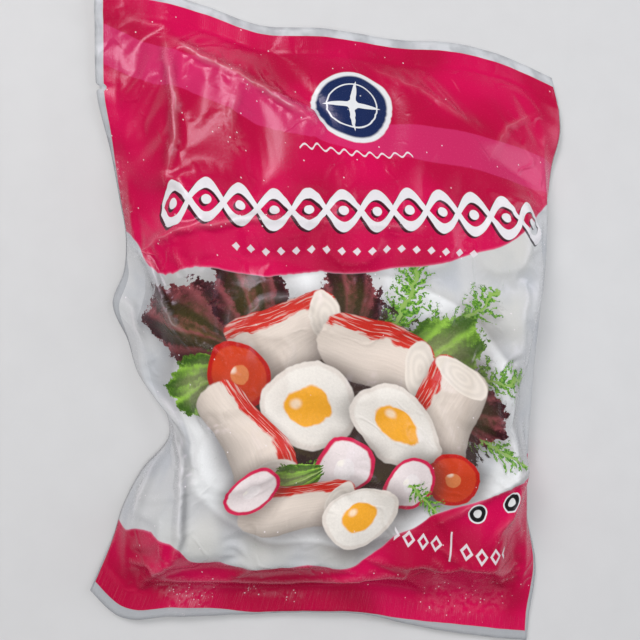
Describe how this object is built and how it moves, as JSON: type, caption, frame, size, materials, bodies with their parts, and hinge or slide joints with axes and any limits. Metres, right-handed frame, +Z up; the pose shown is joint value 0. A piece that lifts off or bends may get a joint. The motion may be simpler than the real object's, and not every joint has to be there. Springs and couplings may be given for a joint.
{
  "type": "frozen seafood pouch",
  "caption": "Heat-sealed printed film pouch of frozen crab-flavoured fish chunks, lying on its back, with flat end seals, drooping side seals and lumps where the film drapes over the chunks.",
  "frame": {"origin": "on the floor under the middle of the pouch's bounding box", "axes": "+Z up from the floor the pouch lies on, +Y along the pouch towards its top seal, +X across it"},
  "size_m": [0.2244, 0.2983, 0.0323],
  "materials": {
    "printed_film": "glossy printed laminate film, crimson fields over white, with creases and a little frost",
    "back_film": "glossy white laminate film with a crimson field at each end",
    "seal_film": "heat-sealed film, faintly ribbed, with a clear unprinted edge",
    "surimi": "frozen fish paste, cream with a red skin on one side"
  },
  "bodies": {
    "root": {"front_panel": "printed_film", "back_panel": "back_film", "seal_top": "seal_film", "seal_bottom": "seal_film", "seal_left": "seal_film", "seal_right": "seal_film", "chunk_01": "surimi", "chunk_02": "surimi", "chunk_03": "surimi", "chunk_04": "surimi", "chunk_05": "surimi", "chunk_06": "surimi", "chunk_07": "surimi", "chunk_08": "surimi", "chunk_09": "surimi", "chunk_10": "surimi", "chunk_11": "surimi", "chunk_12": "surimi", "chunk_13": "surimi", "chunk_14": "surimi", "chunk_15": "surimi", "chunk_16": "surimi", "chunk_17": "surimi", "chunk_18": "surimi", "chunk_19": "surimi", "chunk_20": "surimi", "chunk_21": "surimi", "chunk_22": "surimi", "chunk_23": "surimi"}
  },
  "joints": []
}
